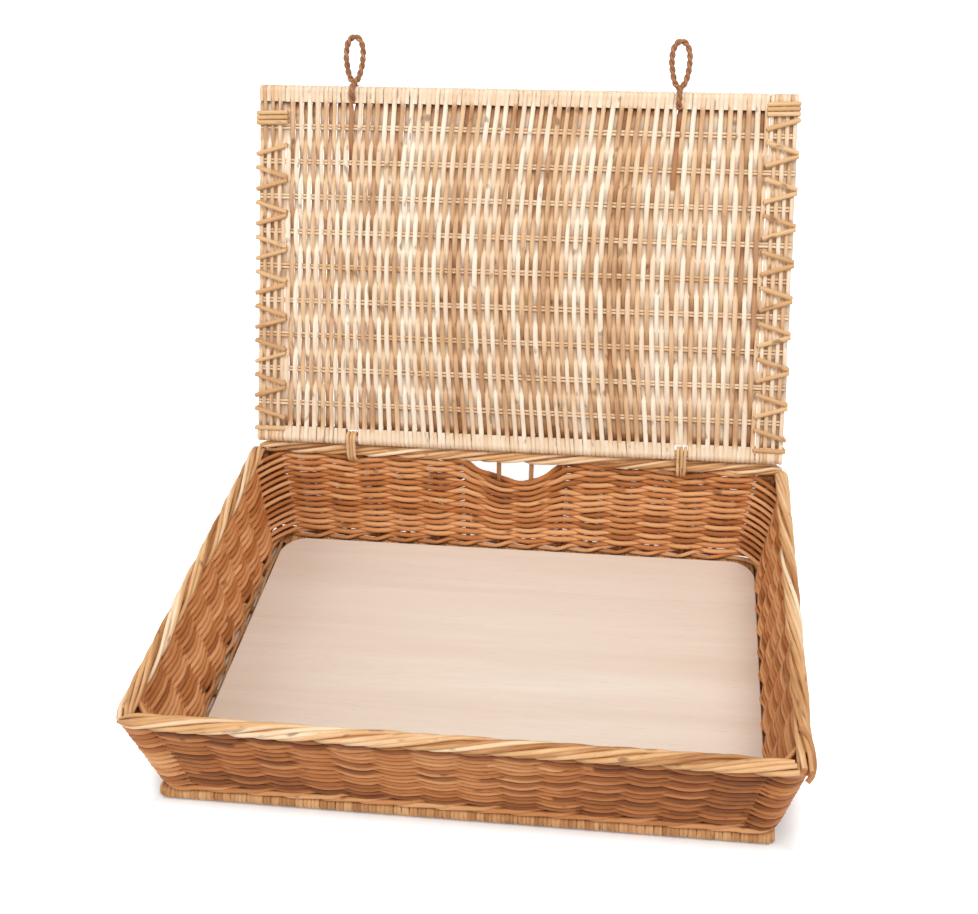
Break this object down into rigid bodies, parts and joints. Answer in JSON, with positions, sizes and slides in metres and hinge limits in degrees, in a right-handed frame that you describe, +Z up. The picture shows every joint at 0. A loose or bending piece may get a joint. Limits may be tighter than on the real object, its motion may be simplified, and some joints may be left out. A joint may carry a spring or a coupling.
{
  "type": "pie basket",
  "caption": "Low rectangular woven willow basket with a hinged woven lid, rod border, hand slot in the rear wall, loose plywood floor and twisted loops on the lid.",
  "frame": {"origin": "middle of the underside of the base, on the surface that the basket stands on", "axes": "+Z up, +X to the right along the basket as seen from its front, +Y to the rear, where the hinges are"},
  "size_m": [0.56, 0.5629, 0.5033],
  "materials": {
    "weave": "buff willow rods, satin",
    "base_wrap": "buff willow rods, satin",
    "sticks": "dark buff willow sticks, matt",
    "border": "pale willow rods, satin",
    "plywood": "birch plywood, fine straight grain",
    "lid_weave": "peeled white and tan willow, satin",
    "lid_wrap": "peeled willow, satin",
    "lid_sticks": "pale willow sticks, satin",
    "lashing": "thin willow rods, satin",
    "hinge_rings": "pale willow rods, satin",
    "loops": "twisted brown willow, satin"
  },
  "bodies": {
    "basket": {"base_weave": "weave", "base_front_stick": "sticks", "base_rear_stick": "sticks", "base_front_wrap": "base_wrap", "base_rear_wrap": "base_wrap", "base_inner_stick_1": "sticks", "base_inner_stick_2": "sticks", "base_inner_stick_3": "sticks", "base_inner_stick_4": "sticks", "base_inner_stick_5": "sticks", "upsett_wale": "weave", "front_weave": "weave", "rear_weave": "weave", "left_weave": "weave", "right_weave": "weave", "corner_weave_front_left": "weave", "corner_weave_front_right": "weave", "corner_weave_rear_left": "weave", "corner_weave_rear_right": "weave", "corner_post_front_left": "sticks", "corner_post_front_right": "sticks", "corner_post_rear_left": "sticks", "corner_post_rear_right": "sticks", "front_border_and_stakes": "border", "rear_border_and_stakes": "border", "left_border_and_stakes": "border", "right_border_and_stakes": "border", "hinge_ring_left_inner": "hinge_rings", "hinge_ring_left_outer": "hinge_rings", "hinge_ring_right_inner": "hinge_rings", "hinge_ring_right_outer": "hinge_rings"},
    "floor_board": {"floor_board": "plywood"},
    "lid": {"lid_weave": "lid_weave", "lid_left_edge_weave": "lid_weave", "lid_right_edge_weave": "lid_weave", "lid_front_stick": "lid_sticks", "lid_rear_stick": "lid_sticks", "lid_front_wrap": "lid_wrap", "lid_rear_wrap_left": "lid_wrap", "lid_rear_wrap_middle": "lid_wrap", "lid_rear_wrap_right": "lid_wrap", "lid_rod_pair_1": "lid_sticks", "lid_rod_pair_2": "lid_sticks", "lid_rod_pair_3": "lid_sticks", "lid_rod_pair_4": "lid_sticks", "lid_rod_pair_5": "lid_sticks", "lid_rod_pair_6": "lid_sticks", "lid_rod_pair_7": "lid_sticks", "lid_rod_pair_8": "lid_sticks", "lid_rod_pair_9": "lid_sticks", "lid_left_lashing_leading": "lashing", "lid_left_lashing_trailing": "lashing", "lid_right_lashing_leading": "lashing", "lid_right_lashing_trailing": "lashing"},
    "loop_left": {"loop_left": "loops"},
    "loop_right": {"loop_right": "loops"}
  },
  "joints": [
    {"name": "floor_board_lift", "type": "slide", "parent": "basket", "child": "floor_board", "axis": [0, 0, 1], "range_m": [0, 0.07]},
    {"name": "lid_hinge", "type": "hinge", "parent": "basket", "child": "lid", "pos_m": [0, 0.1827, 0.1321], "axis": [1, 0, 0], "range_deg": [0, 116]},
    {"name": "loop_left_swing", "type": "hinge", "parent": "lid", "child": "loop_left", "pos_m": [-0.1745, 0.34523, 0.45108], "axis": [1, 0, 0], "range_deg": [-45, 30]},
    {"name": "loop_right_swing", "type": "hinge", "parent": "lid", "child": "loop_right", "pos_m": [0.156, 0.34523, 0.45108], "axis": [1, 0, 0], "range_deg": [-45, 30]}
  ]
}
